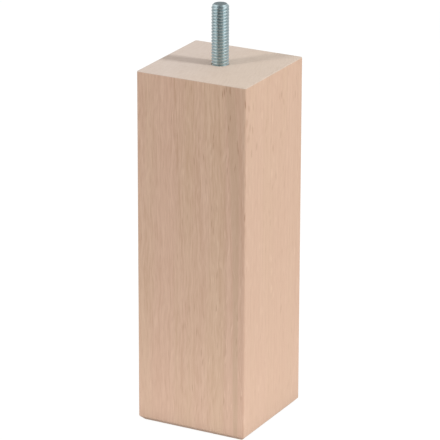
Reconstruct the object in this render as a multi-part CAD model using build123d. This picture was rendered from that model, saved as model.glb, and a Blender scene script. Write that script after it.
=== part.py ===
from build123d import *
import math
import os

# A square furniture leg of solid beech that stands on its foot, with a steel hanger bolt driven
# into the middle of its top end. Sizes are in millimetres. The origin is the middle of the sole,
# +Z runs up the leg and out along the bolt.

# Leg block
side = 55.0  # width of each of the four equal sides
height = 168.0  # from the sole to the top face
upright_easing = 1.0  # radius sanded on the four upright edges
top_easing = 0.4  # radius sanded round the top face
foot_chamfer = 2.0  # cut round the sole so that it doesn't splinter

# Hanger bolt, an inch size: 5/16 in by 2 in
bolt_length = 50.8  # from the stud's end to the tip of the point
thread_radius = 3.95  # over the crests of the machine thread, which runs out just below the top face
stud_projection = 28.0  # how far the stud stands out of the top face
stud_chamfer = 1.0  # leads the nut or insert onto the thread
shank_radius = 3.5  # plain middle of the bolt, as thick as the bar before its threads are rolled
shank_length = 5.5
screw_core_radius = 2.8  # core of the wood screw end
point_length = 6.0
point_radius = 0.4  # the point is a little blunt

# Hole in the block. The bolt is driven home, so steel and wood touch and the fit has no gap.
bolt_fit = 0.0  # radial gap between the bolt and the drilled wall
mouth_radius = 4.1  # a light countersink that takes the burr off the hole
mouth_depth = 0.6
hole_past_point = 2.0  # the drill goes a little deeper than the bolt's point
drill_angle = 118.0  # included angle of the drill's tip

# Heights worked out from the sizes above
stud_end = height + stud_projection
point_tip = stud_end - bolt_length
thread_start = height - (thread_radius - shank_radius)
mouth_floor = height - mouth_depth
shank_foot = mouth_floor - shank_length
point_shoulder = point_tip + point_length


def turned(*outline):
    """A solid turned about the bolt's axis from (radius, height) points, starting and ending on the axis."""
    return revolve(Plane.XZ * make_face(Polyline(*outline, close=True)), Axis.Z)


def make_block():
    """The wooden block, with its edges eased, its foot chamfered and the stepped hole for the bolt."""
    block = Box(side, side, height, align=(Align.CENTER, Align.CENTER, Align.MIN))
    block = chamfer(block.faces().sort_by(Axis.Z)[0].edges(), foot_chamfer)
    level_edges = block.edges().filter_by(Plane.XY)
    block = fillet(block.edges() - level_edges, upright_easing)
    block = fillet(block.faces().sort_by(Axis.Z)[-1].edges(), top_easing)
    return block - make_hole()


def make_hole():
    """The drilled hole: countersunk mouth, a bore for the shank, and a pilot bore for the wood screw."""
    shank_bore = shank_radius + bolt_fit
    pilot_bore = screw_core_radius + bolt_fit
    floor = point_tip - hole_past_point
    drill_tip = floor - pilot_bore / math.tan(math.radians(drill_angle / 2))
    return turned(
        (0, drill_tip),
        (pilot_bore, floor),
        (pilot_bore, shank_foot),
        (shank_bore, shank_foot),
        (shank_bore, mouth_floor),
        (mouth_radius, height),
        (0, height),
    )


def make_bolt():
    """The hanger bolt: machine-thread stud above, plain shank, then the core of the wood screw with its point."""
    return turned(
        (0, point_tip),
        (point_radius, point_tip),
        (screw_core_radius, point_shoulder),
        (screw_core_radius, shank_foot),
        (shank_radius, shank_foot),
        (shank_radius, thread_start),
        (thread_radius, height),
        (thread_radius, stud_end - stud_chamfer),
        (thread_radius - stud_chamfer, stud_end),
        (0, stud_end),
    )


os.makedirs("parts", exist_ok=True)
export_step(make_block(), "parts/leg_block.step")
export_step(make_bolt(), "parts/hanger_bolt.step")
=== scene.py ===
import bpy
import bmesh
import math
from mathutils import Matrix, Vector


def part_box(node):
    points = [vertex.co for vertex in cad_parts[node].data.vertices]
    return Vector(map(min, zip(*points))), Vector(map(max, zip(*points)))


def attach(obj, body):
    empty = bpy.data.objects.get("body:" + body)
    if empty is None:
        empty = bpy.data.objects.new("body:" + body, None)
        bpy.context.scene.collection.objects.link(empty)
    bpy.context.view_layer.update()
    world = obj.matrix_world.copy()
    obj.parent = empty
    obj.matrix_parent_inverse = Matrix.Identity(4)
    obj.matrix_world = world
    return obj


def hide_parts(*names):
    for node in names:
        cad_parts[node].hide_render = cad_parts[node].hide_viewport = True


# A square beech furniture leg with a zinc-plated hanger bolt in its top end.
# Blender works in metres. The wood's and the bolt's dictionaries are in millimetres, the studio's in metres.

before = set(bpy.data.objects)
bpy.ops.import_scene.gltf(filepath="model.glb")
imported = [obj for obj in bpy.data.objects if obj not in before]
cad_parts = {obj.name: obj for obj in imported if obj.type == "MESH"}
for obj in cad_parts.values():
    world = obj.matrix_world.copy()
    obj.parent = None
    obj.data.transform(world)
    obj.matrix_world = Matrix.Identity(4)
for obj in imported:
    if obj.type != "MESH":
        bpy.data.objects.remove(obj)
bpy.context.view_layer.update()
mm = 0.001

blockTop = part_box("leg_block")[1].z
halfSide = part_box("leg_block")[1].x
print("frame loaded:", sorted(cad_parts))


# Shader maths

class Signal:  # a value that changes over a surface, so that shader maths reads as sums
    def __init__(self, finish, socket):
        self.finish, self.socket = finish, socket

    def maths(self, operation, *values):
        return self.finish.add("ShaderNodeMath", {"operation": operation}, dict(enumerate(values)))

    def output(self, name):  # another output of the same node
        return Signal(self.finish, self.socket.node.outputs[name])

    def __add__(self, other):
        return self.maths("ADD", self, other)

    def __radd__(self, other):
        return self.maths("ADD", other, self)

    def __sub__(self, other):
        return self.maths("SUBTRACT", self, other)

    def __rsub__(self, other):
        return self.maths("SUBTRACT", other, self)

    def __mul__(self, other):
        return self.maths("MULTIPLY", self, other)

    def __rmul__(self, other):
        return self.maths("MULTIPLY", other, self)

    def __truediv__(self, other):
        return self.maths("DIVIDE", self, other)

    def __pow__(self, other):
        return self.maths("POWER", self, other)

    def __abs__(self):
        return self.maths("ABSOLUTE", self)

    def step(self, start, end):  # 0 before start, 1 after end, and smooth between them
        return self.finish.add("ShaderNodeMapRange", {"interpolation_type": "SMOOTHSTEP"},
                               {"Value": self, "From Min": start, "From Max": end})

    def bump(self, start, top, end):  # rises from start to top and falls again to end
        return self.step(start, top) * (1 - self.step(top, end))


class Finish:  # the node tree of one material, or of the studio's surroundings
    def __init__(self, tree):
        self.tree = tree
        tree.nodes.clear()

    def add(self, kind, settings=None, values=None, output=0):
        node = self.tree.nodes.new(kind)
        for name, value in (settings or {}).items():
            if name == "stops":
                self.setStops(node.color_ramp, value)
            else:
                setattr(node, name, value)
        for name, value in (values or {}).items():
            if isinstance(value, Signal):
                self.tree.links.new(value.socket, node.inputs[name])
            else:
                node.inputs[name].default_value = value
        return Signal(self, node.outputs[output]) if node.outputs else None

    def setStops(self, ramp, stops):
        while len(ramp.elements) < len(stops):
            ramp.elements.new(0.5)
        for element, (place, grey) in zip(ramp.elements, stops):
            element.position = place
            element.color = (grey, grey, grey, 1)

    def ramp(self, value, stops):  # greys that follow a value between its first and last stop
        first, last = stops[0][0], stops[-1][0]
        shares = [((place - first) / (last - first), grey) for place, grey in stops]
        return self.add("ShaderNodeValToRGB", {"stops": shares}, {0: (value - first) / (last - first)})

    def parts(self, vector):
        x = self.add("ShaderNodeSeparateXYZ", None, {"Vector": vector})
        return x, x.output("Y"), x.output("Z")

    def place(self, output, unit=1.0):  # where a point lies, in parts of the given unit
        vector = self.add("ShaderNodeTexCoord", None, None, output)
        scaled = self.add("ShaderNodeVectorMath", {"operation": "MULTIPLY"}, {0: vector, 1: (1 / unit,) * 3})
        return self.parts(scaled)

    def point(self, x, y, z):
        return self.add("ShaderNodeCombineXYZ", None, {"X": x, "Y": y, "Z": z})

    def noise(self, place, detail=2.0, roughness=0.5):
        return self.add("ShaderNodeTexNoise", None, {"Vector": place, "Scale": 1.0, "Detail": detail,
                                                     "Roughness": roughness})

    def colours(self, factor, first, second):
        return self.add("ShaderNodeMix", {"data_type": "RGBA"}, {0: factor, 6: first, 7: second}, 2)


def colour(red, green, blue):  # a colour picked on screen, made linear for the shader
    return tuple((c / 255 / 12.92) if c < 10.3 else ((c / 255 + 0.055) / 1.055) ** 2.4
                 for c in (red, green, blue)) + (1.0,)


def newMaterial(name):
    material = bpy.data.materials.new(name)
    material.use_nodes = True
    return material, Finish(material.node_tree)


def toMesh(mesh, name):
    data = bpy.data.meshes.new(name)
    mesh.to_mesh(data)
    mesh.free()
    return data


def addObject(name, data):
    thing = bpy.data.objects.new(name, data)
    bpy.context.scene.collection.objects.link(thing)
    return thing


# Beech

beech = {
    "pith": (-20.0, 122.0),      # where the middle of the tree lies, across the leg
    "taper": 0.0015,             # how fast the rings lean inwards up the trunk
    "sweep": 1.0,                # how much more they bend inwards over the leg's height, most near the top
    "trueAround": 150.0,         # how far from the pith lengths round the tree are true
    "ringWidth": 2.7,
    "ringDrift": (0.11, 0.004, 1.6),  # scales out from the pith and up the leg, and reach in rings
    "lateWoodFrom": (0.35, 0.93),  # shares of a ring over which its late wood darkens
    "lateWoodTo": (0.955, 1.0),  # and stops again
    # what bends the grain: scales across and up the leg, and detail
    "wander": (0.02, 0.012, 1.0),
    "ripple": (0.13, 0.05, 2.0),
    "lean": (0.07, 0.05, 1.0),
    "slant": (0.2, 0.09, 1.0),
    # and how far it bends it
    "wanderReach": 1.5,
    "rippleReach": 0.3,
    "leanReach": 3.0,
    "slantReach": 1.2,
    # the grain's patterns: scales round the tree, out from the pith and up the leg, then detail and roughness
    "column": (0.16, 0.10, 0.006, 2.0, 0.5),
    "fibre": (1.0, 0.85, 0.022, 3.0, 0.6),
    "hair": (2.2, 2.0, 0.13, 2.0, 0.6),
    "crowd": (0.22, 0.10, 0.035, 1.0, 0.5),
    "tint": (0.09, 0.08, 0.006, 1.0, 0.5),
    "fleck": (1.15, 0.09, 0.15),
    # levels that some patterns are read at, so that they don't repeat one another
    "ringLevel": 3.0,
    "tintLevel": 40.0,
    "spokeLevel": 50.0,
    "cloudLevel": 7.0,
    "poreLevel": 3.0,
    # how much each pattern darkens the wood, and what they come to on average
    "columnShade": 0.16,
    "lateWoodShade": 0.08,
    "fibreShade": 0.60,
    "hairShade": 0.84,
    "veinShade": 0.18,
    "averageShade": 0.845,
    "glintShade": 0.30,          # how much the pale flecks lighten it
    "contrastLow": 0.84,         # contrast at the foot,
    "contrastMore": 0.28,        # and how much it gains
    "contrastRise": (30, 140),   # between these heights
    "shadeRange": (0.05, 0.95),  # shades at which the wood is at its palest and darkest
    "quarteredPlainer": 0.55,    # how much plainer the sides are that are sawn along the rays
    # where a face's own look starts and is full: below the top, above the sole and inside the sides
    "topDepths": (0.38, 0.20),
    "soleHeights": (0.02, 0.06),
    "sideDepths": (0.20, 0.02),
    # flecks: how soft their edges are, and which of them are dark or pale
    "fleckEdge": (0.12, 0.46),
    "darkFlecks": (0.35, 1.0),
    "paleFlecks": (0.45, 1.0),
    "crowded": (0.30, 0.62),     # where they crowd together,
    "flecksBetween": 0.3,        # and how strong they are between the crowds
    # how strong they are at the left of the wide face, towards its right, and high up at its right
    "flecksLeft": 0.45,
    "flecksRight": 0.4,
    "flecksHigh": 0.8,
    "flecksRightFrom": (-16, 2),
    "flecksHighFrom": ((-6, 8), (80, 135)),
    # the darker streak up the front corner: where it starts, and the paler wood in it and outside it
    "streakFrom": (155.1, 155.5),
    "paleYear": (156.3, 156.8, 157.8),
    "paleYearShare": 0.6,
    "outerWood": (23.6, 24.8),
    "outerWoodEnds": (40, 130),
    "outerWoodLost": 0.7,
    # a thin vein: how it leans, its sides, and the heights over which it comes in
    "veinLean": 0.048,
    "veinRipple": 1.5,
    "vein": (-0.9, -0.2, 0.5),
    "veinRise": (50, 120),
    # tints: where each starts and is full, and its share
    "pinkFrom": (0.40, 0.68),
    "strawFrom": (0.30, 0.52),
    "tintShare": 0.22,
    "streakShare": 0.50,
    "rayShare": 0.50,
    # end grain: scales and ripple of the rays, round the tree and out from the pith, and where they show
    "spoke": (1.7, 0.13),
    "spokeRipple": (4, 2),
    "spokeEdge": (0.35, 0.75),
    "spokeShare": 0.30,
    "cloud": 0.12,               # scale of its clouds
    "cloudShare": 0.4,
    "pore": (1.1, 0.8),          # scales of its pores, along and across a slant
    "poreRipple": 9,
    "poreShare": 0.6,
    "warmEnd": (-20, 15),        # where the end turns warmer
    # surface: its gloss, its roughness with what the fibres and the ends add, and the depth of the relief
    "gloss": 0.4,
    "roughness": 0.56,
    "fibreRoughness": 0.10,
    "endRoughness": 0.06,
    "hairRelief": 0.6,
    "fibreRelief": 0.3,
    "rayRelief": 0.4,
    "poreRelief": 0.4,
    "reliefStrength": 0.25,
    "reliefDepth": 0.08,
    "pale": colour(225, 192, 168),
    "dark": colour(198, 159, 134),
    "pink": colour(221, 182, 160),
    "straw": colour(214, 187, 152),
    "ray": colour(170, 128, 102),
    # end grain: its own colour, made greyer and bluer by painted cool light and sheen of the lit top
    "end": colour(204, 187, 175),
    "endWarm": colour(203, 184, 168),
    "endRay": colour(184, 163, 146),
    "streak": colour(196, 166, 138),
}


class Wood:  # the block as a piece of the tree that it was sawn from
    def __init__(self, finish):
        self.finish = finish
        self.x, self.y, self.z = finish.place("Object", mm)
        self.wander, self.ripple = self.sway("wander"), self.sway("ripple")
        self.lean = self.sway("lean") * beech["leanReach"]
        fromPithX = self.x - beech["pith"][0] + self.wander * beech["wanderReach"]
        fromPithY = self.y - beech["pith"][1] + self.ripple * beech["rippleReach"]
        height = self.z * (mm / blockTop)
        bend = self.z * beech["taper"] + height * height * height * beech["sweep"]
        self.radius = (fromPithX * fromPithX + fromPithY * fromPithY) ** 0.5 + bend
        self.around = fromPithX.maths("ARCTAN2", fromPithX, 0 - fromPithY) * beech["trueAround"]
        # masks for the ends, and for the two sides that are sawn along the rays
        topEnd = self.z.step(*(blockTop / mm - depth for depth in beech["topDepths"]))
        self.ends = 1 - self.z.step(*beech["soleHeights"]) + topEnd
        self.quartered = abs(self.x).step(*(halfSide / mm - depth for depth in beech["sideDepths"]))
        self.plainer = 1 - self.quartered * beech["quarteredPlainer"]

    def sway(self, name):  # a noise about zero, which bends the grain
        across, up, detail = beech[name]
        place = self.finish.point(self.x * across, self.y * across, self.z * up)
        return self.finish.noise(place, detail) - 0.5

    def along(self, name, around, level=0.0):  # a place in a pattern that is drawn out along the grain
        aroundScale, outScale, upScale = beech[name][:3]
        return self.finish.point(around * aroundScale, self.radius * outScale, self.z * upScale + level)

    def pattern(self, name, around, level=0.0):
        detail, roughness = beech[name][3:]
        return self.finish.noise(self.along(name, around, level), detail, roughness)

    def lateWood(self):  # the rings' outer part, denser and darker
        outScale, upScale, reach = beech["ringDrift"]
        place = self.finish.point(self.radius * outScale, beech["ringLevel"], self.z * upScale)
        years = self.radius / beech["ringWidth"] + self.finish.noise(place) * reach
        season = years.maths("FRACT", years)
        return season.step(*beech["lateWoodFrom"]) * (1 - season.step(*beech["lateWoodTo"]))

    def flecks(self):  # rays are thin flat bundles across the grain, seen end on as dark or pale flecks
        slant = self.lean + self.sway("slant") * beech["slantReach"]
        place = self.along("fleck", self.around + slant)
        distance = self.finish.add("ShaderNodeTexVoronoi", {"voronoi_dimensions": "3D", "feature": "F1"},
                                   {"Vector": place, "Scale": 1.0, "Randomness": 1.0}, "Distance")
        darkPick, palePick = self.finish.parts(distance.output("Color"))[:2]
        fleck = (1 - distance.step(*beech["fleckEdge"])) * self.plainer
        crowd = self.pattern("crowd", self.around).step(*beech["crowded"])
        crowd = crowd * (1 - beech["flecksBetween"]) + beech["flecksBetween"]
        sides, heights = beech["flecksHighFrom"]
        strength = (self.x.step(*beech["flecksRightFrom"]) * beech["flecksRight"]
                    + self.x.step(*sides) * self.z.step(*heights) * beech["flecksHigh"] + beech["flecksLeft"])
        dark = fleck * darkPick.step(*beech["darkFlecks"]) * crowd * strength
        return dark, fleck * palePick.step(*beech["paleFlecks"])

    def streak(self):  # the darker streak up the front corner, with paler wood in it and outside it
        paleYear = self.radius.bump(*beech["paleYear"]) * beech["paleYearShare"]
        outerLeft = 1 - self.z.step(*beech["outerWoodEnds"]) * beech["outerWoodLost"]
        outer = self.x.step(*beech["outerWood"]) * outerLeft
        return self.radius.step(*beech["streakFrom"]) * (1 - paleYear) * (1 - outer)

    def vein(self):
        across = self.x + self.z * beech["veinLean"] + self.ripple * beech["veinRipple"]
        return across.bump(*beech["vein"]) * self.z.step(*beech["veinRise"])

    def pores(self):  # fine dots on the ends, in rows that slant so that they form no grid
        scaleAlong, scaleAcross = beech["pore"]
        along = self.x * scaleAlong + self.y * scaleAcross + self.ripple * beech["poreRipple"]
        across = self.y * scaleAlong - self.x * scaleAcross + self.wander * beech["poreRipple"]
        return self.finish.noise(self.finish.point(along, across, beech["poreLevel"]))


def sideColour(wood, lateWood, fibre, hair, rays, glints):
    grain = wood.pattern("column", wood.around) * beech["columnShade"] + lateWood * beech["lateWoodShade"]
    grain = grain + fibre * beech["fibreShade"] + hair * beech["hairShade"] + wood.vein() * beech["veinShade"]
    contrast = wood.z.step(*beech["contrastRise"]) * beech["contrastMore"] + beech["contrastLow"]
    shade = (grain - beech["averageShade"]) * wood.plainer * contrast + 0.5 - glints * beech["glintShade"]
    base = wood.finish.colours(shade.step(*beech["shadeRange"]), beech["pale"], beech["dark"])
    tint = wood.pattern("tint", wood.around, beech["tintLevel"])
    tintShare = wood.plainer * beech["tintShare"]
    streakShare = wood.streak() * (1 - wood.quartered) * beech["streakShare"]
    base = wood.finish.colours(tint.step(*beech["pinkFrom"]) * tintShare, base, beech["pink"])
    base = wood.finish.colours((1 - tint.step(*beech["strawFrom"])) * tintShare, base, beech["straw"])
    base = wood.finish.colours(streakShare, base, beech["streak"])
    return wood.finish.colours(rays * beech["rayShare"], base, beech["ray"])


def endColour(wood, lateWood, pores):  # greyer and bluer than the sides, partly the end grain's own colour and partly painted cool light and sheen of the lit top, with soft ring arcs and hair-thin rays out from the pith
    finish = wood.finish
    (aroundScale, outScale), (aroundRipple, outRipple) = beech["spoke"], beech["spokeRipple"]
    place = finish.point(wood.around * aroundScale + wood.ripple * aroundRipple,
                         wood.radius * outScale + wood.ripple * outRipple, beech["spokeLevel"])
    spokes = finish.noise(place, 1.0).step(*beech["spokeEdge"])
    clouds = finish.noise(finish.point(wood.x * beech["cloud"], wood.y * beech["cloud"], beech["cloudLevel"]))
    shade = lateWood * beech["lateWoodShade"] + spokes * beech["spokeShare"]
    shade = shade + (clouds - 0.5) * beech["cloudShare"] + (pores - 0.5) * beech["poreShare"]
    pale = finish.colours(wood.x.step(*beech["warmEnd"]), beech["end"], beech["endWarm"])
    return finish.colours(shade, pale, beech["endRay"])


def makeBeech():
    material, finish = newMaterial("beech")
    wood = Wood(finish)
    lateWood, pores = wood.lateWood(), wood.pores()
    rays, glints = wood.flecks()
    fibre, hair = (wood.pattern(name, wood.around + wood.lean) for name in ("fibre", "hair"))
    sides = sideColour(wood, lateWood, fibre, hair, rays, glints)
    base = finish.colours(wood.ends, sides, endColour(wood, lateWood, pores))
    roughness = beech["roughness"] + fibre * beech["fibreRoughness"] + wood.ends * beech["endRoughness"]
    relief = hair * beech["hairRelief"] + fibre * beech["fibreRelief"] - rays * beech["rayRelief"]
    relief = relief * (1 - wood.ends) + pores * wood.ends * beech["poreRelief"]
    bump = finish.add("ShaderNodeBump", None, {"Strength": beech["reliefStrength"],
                                               "Distance": beech["reliefDepth"] * mm, "Height": relief})
    shader = finish.add("ShaderNodeBsdfPrincipled", None,
                        {"Base Color": base, "Roughness": roughness, "Normal": bump,
                         "Specular IOR Level": beech["gloss"]})
    finish.add("ShaderNodeOutputMaterial", None, {"Surface": shader})
    return material


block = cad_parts["leg_block"]
block.data.materials.clear()
block.data.materials.append(makeBeech())
print("beech laid on the block")


# Hanger bolt

bolt = {
    "stepsPerTurn": 64,
    "threadPitch": 25.4 / 18,    # 18 turns to the inch
    "threadStart": -0.2,         # where the thread comes round to the front, as a share of its pitch
    # one turn of the machine thread as (share of the pitch, radius), rounded at root and crest
    "thread": [(0.0, 3.32), (0.07, 3.35), (0.14, 3.47), (0.21, 3.66), (0.27, 3.83), (0.32, 3.92), (0.38, 3.95),
               (0.62, 3.95), (0.68, 3.92), (0.73, 3.83), (0.79, 3.66), (0.86, 3.47), (0.93, 3.35)],
    # heights from the top face of the block, with the largest and smallest radius there
    "studOuter": [(-0.45, 3.5), (0.0, 3.95), (27.0, 3.95), (28.0, 2.95)],
    "studInner": [(-0.45, 3.5), (1.6, 2.8), (28.0, 2.8)],
    "shankRadius": 3.5,
    "shankFoot": -6.1,
    "coreRadius": 2.8,
    "screwPitch": 25.4 / 9,      # 9 turns to the inch
    # the wood screw's ridge is narrow, and is kept between the radii below
    "screw": [(0.0, 0.1), (0.14, 0.1), (0.29, 0.1), (0.46, 9.0), (0.54, 9.0), (0.71, 0.1), (0.86, 0.1)],
    "screwOuter": [(-22.8, 0.4), (-21.6, 1.5), (-15.2, 3.8), (-8.2, 3.8), (-6.4, 2.8)],
    "screwInner": [(-22.8, 0.4), (-16.8, 2.8), (-6.4, 2.8)],
    "dishWidth": 0.7,            # the cut end is dished a little
    "dishDepth": 0.12,
    "sharpAngle": 38,            # edges that turn more than this stay sharp, in degrees
    "merge": 0.0005,             # points nearer than this become one,
    "cut": 0.00001,              # and nearer than this to a cut lie on it
}


def radiusAt(stops, height):  # straight lines between the stops
    for (lowHeight, lowRadius), (highHeight, highRadius) in zip(stops, stops[1:]):
        if height <= highHeight:
            share = max(0.0, (height - lowHeight) / (highHeight - lowHeight))
            return lowRadius + (highRadius - lowRadius) * share
    return stops[-1][1]


def windThread(mesh, outline, pitch, outer, inner):
    # every turn's outline in one line up the bar, spun once while it rises by one pitch
    low, high = outer[0][0], outer[-1][0]
    turns = math.ceil((high - low) / pitch) + 2  # with one to spare below and one above
    steps = bolt["stepsPerTurn"]
    points = [mesh.verts.new((radius, 0, low + (turn + share - 1) * pitch))
              for turn in range(turns) for share, radius in outline]
    lines = [mesh.edges.new(pair) for pair in zip(points, points[1:])]
    bmesh.ops.spin(mesh, geom=points + lines, cent=(0, 0, 0), axis=(0, 0, 1), dvec=(0, 0, pitch / steps),
                   angle=math.tau, steps=steps, use_merge=False, use_duplicate=False)
    bmesh.ops.remove_doubles(mesh, verts=mesh.verts, dist=bolt["merge"])
    for vert in mesh.verts:      # the bar's own shape limits the thread at its run-out, point and chamfer
        radius = math.hypot(vert.co.x, vert.co.y)
        wanted = min(max(radius, radiusAt(inner, vert.co.z)), radiusAt(outer, vert.co.z))
        vert.co.x *= wanted / radius
        vert.co.y *= wanted / radius
    for height, normal in ((low, (0, 0, -1)), (high, (0, 0, 1))):
        bmesh.ops.bisect_plane(mesh, geom=mesh.verts[:] + mesh.edges[:] + mesh.faces[:], dist=bolt["cut"],
                               plane_co=(0, 0, height), plane_no=normal, clear_outer=True)
    bmesh.ops.dissolve_degenerate(mesh, dist=bolt["merge"], edges=mesh.edges)


def rimAt(mesh, height):  # the open edge that lies level at a height
    return [edge for edge in mesh.edges if edge.is_boundary
            and all(abs(vert.co.z - height) < 2 * bolt["merge"] for vert in edge.verts)]


def extrudeRim(mesh, rim, radius, rise):  # a rim grown to a new radius and height
    grown = bmesh.ops.extrude_edge_only(mesh, edges=rim)["geom"]
    points = [item for item in grown if isinstance(item, bmesh.types.BMVert)]
    for point in points:
        point.co.z += rise
        share = radius / math.hypot(point.co.x, point.co.y)
        point.co.x *= share
        point.co.y *= share
    return [item for item in grown if isinstance(item, bmesh.types.BMEdge)]


def makeScrew():  # the wood screw, open at its upper end
    screw = bmesh.new()
    windThread(screw, bolt["screw"], bolt["screwPitch"], bolt["screwOuter"], bolt["screwInner"])
    bmesh.ops.holes_fill(screw, edges=rimAt(screw, bolt["screwOuter"][0][0]))
    return screw


def makeStud():  # the machine thread with the plain shank under it, open at its lower end
    stud = bmesh.new()
    turn = [(share + bolt["threadStart"], radius) for share, radius in bolt["thread"]]
    windThread(stud, turn, bolt["threadPitch"], bolt["studOuter"], bolt["studInner"])
    top = bmesh.ops.holes_fill(stud, edges=rimAt(stud, bolt["studOuter"][-1][0]))["faces"]
    bmesh.ops.inset_region(stud, faces=top, thickness=bolt["dishWidth"], depth=bolt["dishDepth"])
    studFoot = bolt["studOuter"][0][0]
    foot = extrudeRim(stud, rimAt(stud, studFoot), bolt["shankRadius"], bolt["shankFoot"] - studFoot)
    extrudeRim(stud, foot, bolt["coreRadius"], 0)  # the flat step under the shank
    return stud


def makeBolt():
    mesh, stud = makeScrew(), toMesh(makeStud(), "stud")
    mesh.from_mesh(stud)
    bpy.data.meshes.remove(stud)
    bmesh.ops.bridge_loops(mesh, edges=rimAt(mesh, bolt["shankFoot"]) + rimAt(mesh, bolt["screwOuter"][-1][0]))
    bmesh.ops.recalc_face_normals(mesh, faces=mesh.faces)
    bmesh.ops.scale(mesh, vec=(mm, mm, mm), verts=mesh.verts)
    bmesh.ops.translate(mesh, vec=(0, 0, blockTop), verts=mesh.verts)
    for face in mesh.faces:
        face.smooth = True
    for edge in mesh.edges:
        edge.smooth = edge.calc_face_angle(0) < math.radians(bolt["sharpAngle"])
    return addObject("threaded_bolt", toMesh(mesh, "hangerBolt"))


zinc = {
    "plate": colour(200, 218, 222),
    "shadow": colour(150, 170, 172),
    "grooves": (3.16, 3.6),      # radii between which the thread's grooves end, where the plate is rougher and darkened by painted shade
    "grooveShadeShare": 0.15,
    "cloud": (0.5, 0.3, 3.0),    # clouds in the plate: scales across and up the bolt, and detail
    "cloudShare": 0.3,
    "roughness": 0.30,
    "grooveRoughness": 0.06,
    "cloudRoughness": 0.12,
}


def makeZinc():
    material, finish = newMaterial("zincPlate")
    x, y, z = finish.place("Object", mm)
    across, up, detail = zinc["cloud"]
    clouds = finish.noise(finish.point(x * across, y * across, z * up), detail) - 0.5
    groove = 1 - ((x * x + y * y) ** 0.5).step(*zinc["grooves"])
    # painted shade in the thread's grooves, mixed with the plate's own clouds
    shade = groove * zinc["grooveShadeShare"] + clouds * zinc["cloudShare"]
    base = finish.colours(shade, zinc["plate"], zinc["shadow"])
    roughness = zinc["roughness"] + groove * zinc["grooveRoughness"] + clouds * zinc["cloudRoughness"]
    shader = finish.add("ShaderNodeBsdfPrincipled", None,
                        {"Base Color": base, "Roughness": roughness, "Metallic": 1.0})
    finish.add("ShaderNodeOutputMaterial", None, {"Surface": shader})
    return material


hangerBolt = makeBolt()
hangerBolt.data.materials.append(makeZinc())
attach(hangerBolt, "root")
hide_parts("hanger_bolt")
print("bolt wound and plated")


# Studio

studio = {
    "azimuth": 28.230,           # camera, in degrees round from the front and up from level
    "elevation": 20.079,
    "roll": 0.155,
    "distance": 1.4979,
    "aimHeight": 0.085,
    "lens": 268.951,
    "aimRight": 0.0050,          # degrees that the camera is turned past the middle of the leg
    "aimUp": 0.3158,
    "floorSize": 8.0,
    "floorWhite": 1.05,          # how bright the floor shows,
    "floorShaded": 0.1,          # what share of that takes the lamps' light,
    "floorGrey": 0.9,            # and how pale it is there
}


def lookFrom(azimuth, elevation, distance, height):  # at a height on the leg's axis, from so far off
    turn, rise = math.radians(azimuth), math.radians(elevation)
    back = Vector((math.sin(turn) * math.cos(rise), -math.cos(turn) * math.cos(rise), math.sin(rise)))
    turned = back.to_track_quat("Z", "Y").to_matrix().to_4x4()
    return Matrix.Translation(Vector((0, 0, height)) + back * distance) @ turned


def makeCamera():
    camera = addObject("camera", bpy.data.cameras.new("camera"))
    camera.data.lens = studio["lens"]
    stand = lookFrom(studio["azimuth"], studio["elevation"], studio["distance"], studio["aimHeight"])
    for axis, angle in (("Z", studio["roll"]), ("X", studio["aimUp"]), ("Y", -studio["aimRight"])):
        stand = stand @ Matrix.Rotation(math.radians(angle), 4, axis)
    camera.matrix_world = stand
    bpy.context.scene.camera = camera


# a lamp's strength is how bright a white surface is that faces it, at any distance
lamps = {
    "key": {"azimuth": 96.0, "elevation": 43.0, "distance": 1.1, "size": 0.16, "strength": 0.525,
            "colour": (0.97, 1.05, 1.09)},
    "fill": {"azimuth": -36.0, "elevation": 40.0, "distance": 1.1, "size": 0.14, "strength": 0.29,
             "colour": (1.0, 1.0, 1.02)},
}


def makeLamp(name, lamp):
    data = bpy.data.lights.new(name, "AREA")
    data.shape = "DISK"
    data.size = lamp["size"]
    data.energy = lamp["strength"] * math.pi ** 2 * lamp["distance"] ** 2
    data.color = lamp["colour"]
    light = addObject(name, data)
    light.matrix_world = lookFrom(lamp["azimuth"], lamp["elevation"], lamp["distance"], blockTop)
    light.visible_glossy = False


surroundings = {
    "soft": 0.66,                # what the wood gets from above,
    "softRight": 0.24,           # how much more of it comes from the right than from the middle,
    "softBehind": 0.40,          # and more from low down behind the leg, where the lamps don't reach:
    "behindSides": (0, 0.5),     # over which shares of the way back and to the left it comes in,
    "behindHeights": (0.1, 0.5),  # and over which heights it goes
    "floorFar": 0.42,            # what it gets from the floor away from the leg,
    # and more in pools before the wide face, beside the narrow face and behind the leg:
    # x, y, where the pool starts to fade, where it ends, and how much more
    "pools": [(-0.03, -0.09, 0.03, 0.17, 0.465), (0.12, 0.0, 0.03, 0.26, 0.58),
              (-0.10, 0.16, 0.05, 0.22, 0.40)],
    # close to the sole the floor darkens: half the sole's width, where that starts outside it,
    # and how much light is left and where it ends, in front and on the right
    "soleHalf": 0.0255,
    "underFrom": 0.002,
    "underFront": (0.42, 0.010),
    "underRight": (0.55, 0.016),
    "underBlend": 0.004,         # half the width over which one gives way to the other at the corner
    "mirrored": 2.7,             # how bright a full white is in what the bolt mirrors:
    # by the side that the bar faces there, in degrees round from the camera,
    "across": [(-90, 0.16), (-72, 0.15), (-62, 0.15), (-52, 0.23), (-42, 0.33), (-31, 0.42), (-23, 0.12),
               (-14, 0.01), (-6, 0.00), (4, 0.00), (12, 0.02), (19, 0.16), (25.5, 0.52), (35, 0.40), (43, 0.29),
               (52, 0.18), (62, 0.14), (72, 0.18), (90, 0.20)],
    # with more on upright surfaces that face the camera, on slopes that face half upwards, and another
    # brightness on its flat end: how bright, and over which sides and tilts, in degrees
    "ahead": 0.27,
    "aheadSides": (-15, 4, 22),
    "aheadTilts": (-24, 0, 18),
    "lift": 0.14,
    "liftTilts": (26, 45, 64),
    "overhead": 0.10,
    "overheadTilts": (68, 85),
}


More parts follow.
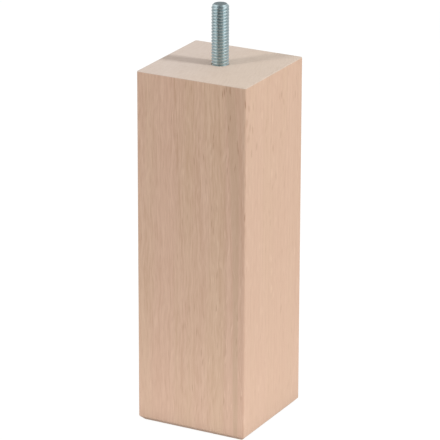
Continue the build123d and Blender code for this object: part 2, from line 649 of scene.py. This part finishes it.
def mirroredLight(finish, x, y, z):  # what the bolt mirrors, by the way that its surface faces
    turn, rise = math.radians(studio["azimuth"]), math.radians(studio["elevation"])
    # a surface mirrors the direction that lies as far beyond its own facing as the camera lies before it
    forward = x * math.sin(turn) - y * math.cos(turn) + math.cos(rise)
    beside = x * math.cos(turn) + y * math.sin(turn)
    level = (forward * forward + beside * beside) ** 0.5
    facing = beside.maths("ARCTAN2", beside, forward) * math.degrees(1)
    tilt = z.maths("ARCTAN2", z + math.sin(rise), level) * math.degrees(1)
    glow = finish.ramp(facing, surroundings["across"])
    glow = glow + tilt.bump(*surroundings["liftTilts"]) * surroundings["lift"]
    ahead = facing.bump(*surroundings["aheadSides"]) * tilt.bump(*surroundings["aheadTilts"])
    glow = glow + ahead * surroundings["ahead"]
    flat = tilt.step(*surroundings["overheadTilts"])
    return (glow * (1 - flat) + flat * surroundings["overhead"]) * surroundings["mirrored"]


def softLight(x, y, z):  # what the wood gets from above, and from the right and behind
    sides, heights = surroundings["behindSides"], surroundings["behindHeights"]
    behind = y.step(*sides) * (0 - x).step(*sides) * (1 - z.step(*heights))
    return surroundings["soft"] + x * surroundings["softRight"] + behind * surroundings["softBehind"]


def makeSurroundings():
    world = bpy.data.worlds.new("surroundings")
    bpy.context.scene.world = world
    world.use_nodes = True
    finish = Finish(world.node_tree)
    direction = finish.place("Generated")
    seen = finish.add("ShaderNodeLightPath", None, None, "Is Camera Ray")
    soft, mirrored = softLight(*direction), mirroredLight(finish, *direction)
    light = finish.colours(seen.output("Is Glossy Ray"), soft, mirrored)
    light = finish.colours(seen, light, (1, 1, 1, 1))
    background = finish.add("ShaderNodeBackground", None, {"Color": light, "Strength": 1.0})
    finish.add("ShaderNodeOutputWorld", None, {"Surface": background})


def floorLight(finish):  # what the wood gets from the floor
    x, y, z = finish.place("Object")
    glow = surroundings["floorFar"]
    for poolX, poolY, start, end, strength in surroundings["pools"]:
        fromPoolX, fromPoolY = x - poolX, y - poolY
        away = (fromPoolX * fromPoolX + fromPoolY * fromPoolY) ** 0.5
        glow = glow + (1 - away.step(start, end)) * strength
    outside = x.maths("MAXIMUM", abs(x), abs(y)) - surroundings["soleHalf"]
    toRight = (x + y).step(-surroundings["underBlend"], surroundings["underBlend"])
    lost = 0
    for name, side in (("underFront", 1 - toRight), ("underRight", toRight)):
        left, end = surroundings[name]
        lost = lost + (1 - outside.step(surroundings["underFrom"], end)) * side * (1 - left)
    return glow * (1 - lost)


def makeFloor():
    mesh = bmesh.new()
    bmesh.ops.create_grid(mesh, x_segments=1, y_segments=1, size=studio["floorSize"] / 2)
    floor = addObject("floor", toMesh(mesh, "floor"))
    material, finish = newMaterial("paleFloor")
    floor.data.materials.append(material)
    seen = finish.add("ShaderNodeLightPath", None, None, "Is Camera Ray")
    plain = finish.add("ShaderNodeBsdfDiffuse", None, {"Color": (studio["floorGrey"],) * 3 + (1,)})
    white = finish.add("ShaderNodeEmission", None, {"Color": (1, 1, 1, 1), "Strength": studio["floorWhite"]})
    bounce = finish.add("ShaderNodeEmission", None, {"Color": floorLight(finish), "Strength": 1.0})
    shown = finish.add("ShaderNodeMixShader", None, {0: studio["floorShaded"], 1: white, 2: plain})
    shader = finish.add("ShaderNodeMixShader", None, {0: seen, 1: bounce, 2: shown})
    finish.add("ShaderNodeOutputMaterial", None, {"Surface": shader})
    floor.visible_glossy = False


makeCamera()
for name, lamp in lamps.items():
    makeLamp(name, lamp)
makeSurroundings()
makeFloor()
bpy.context.scene.view_settings.view_transform = "Standard"
print("studio lit")
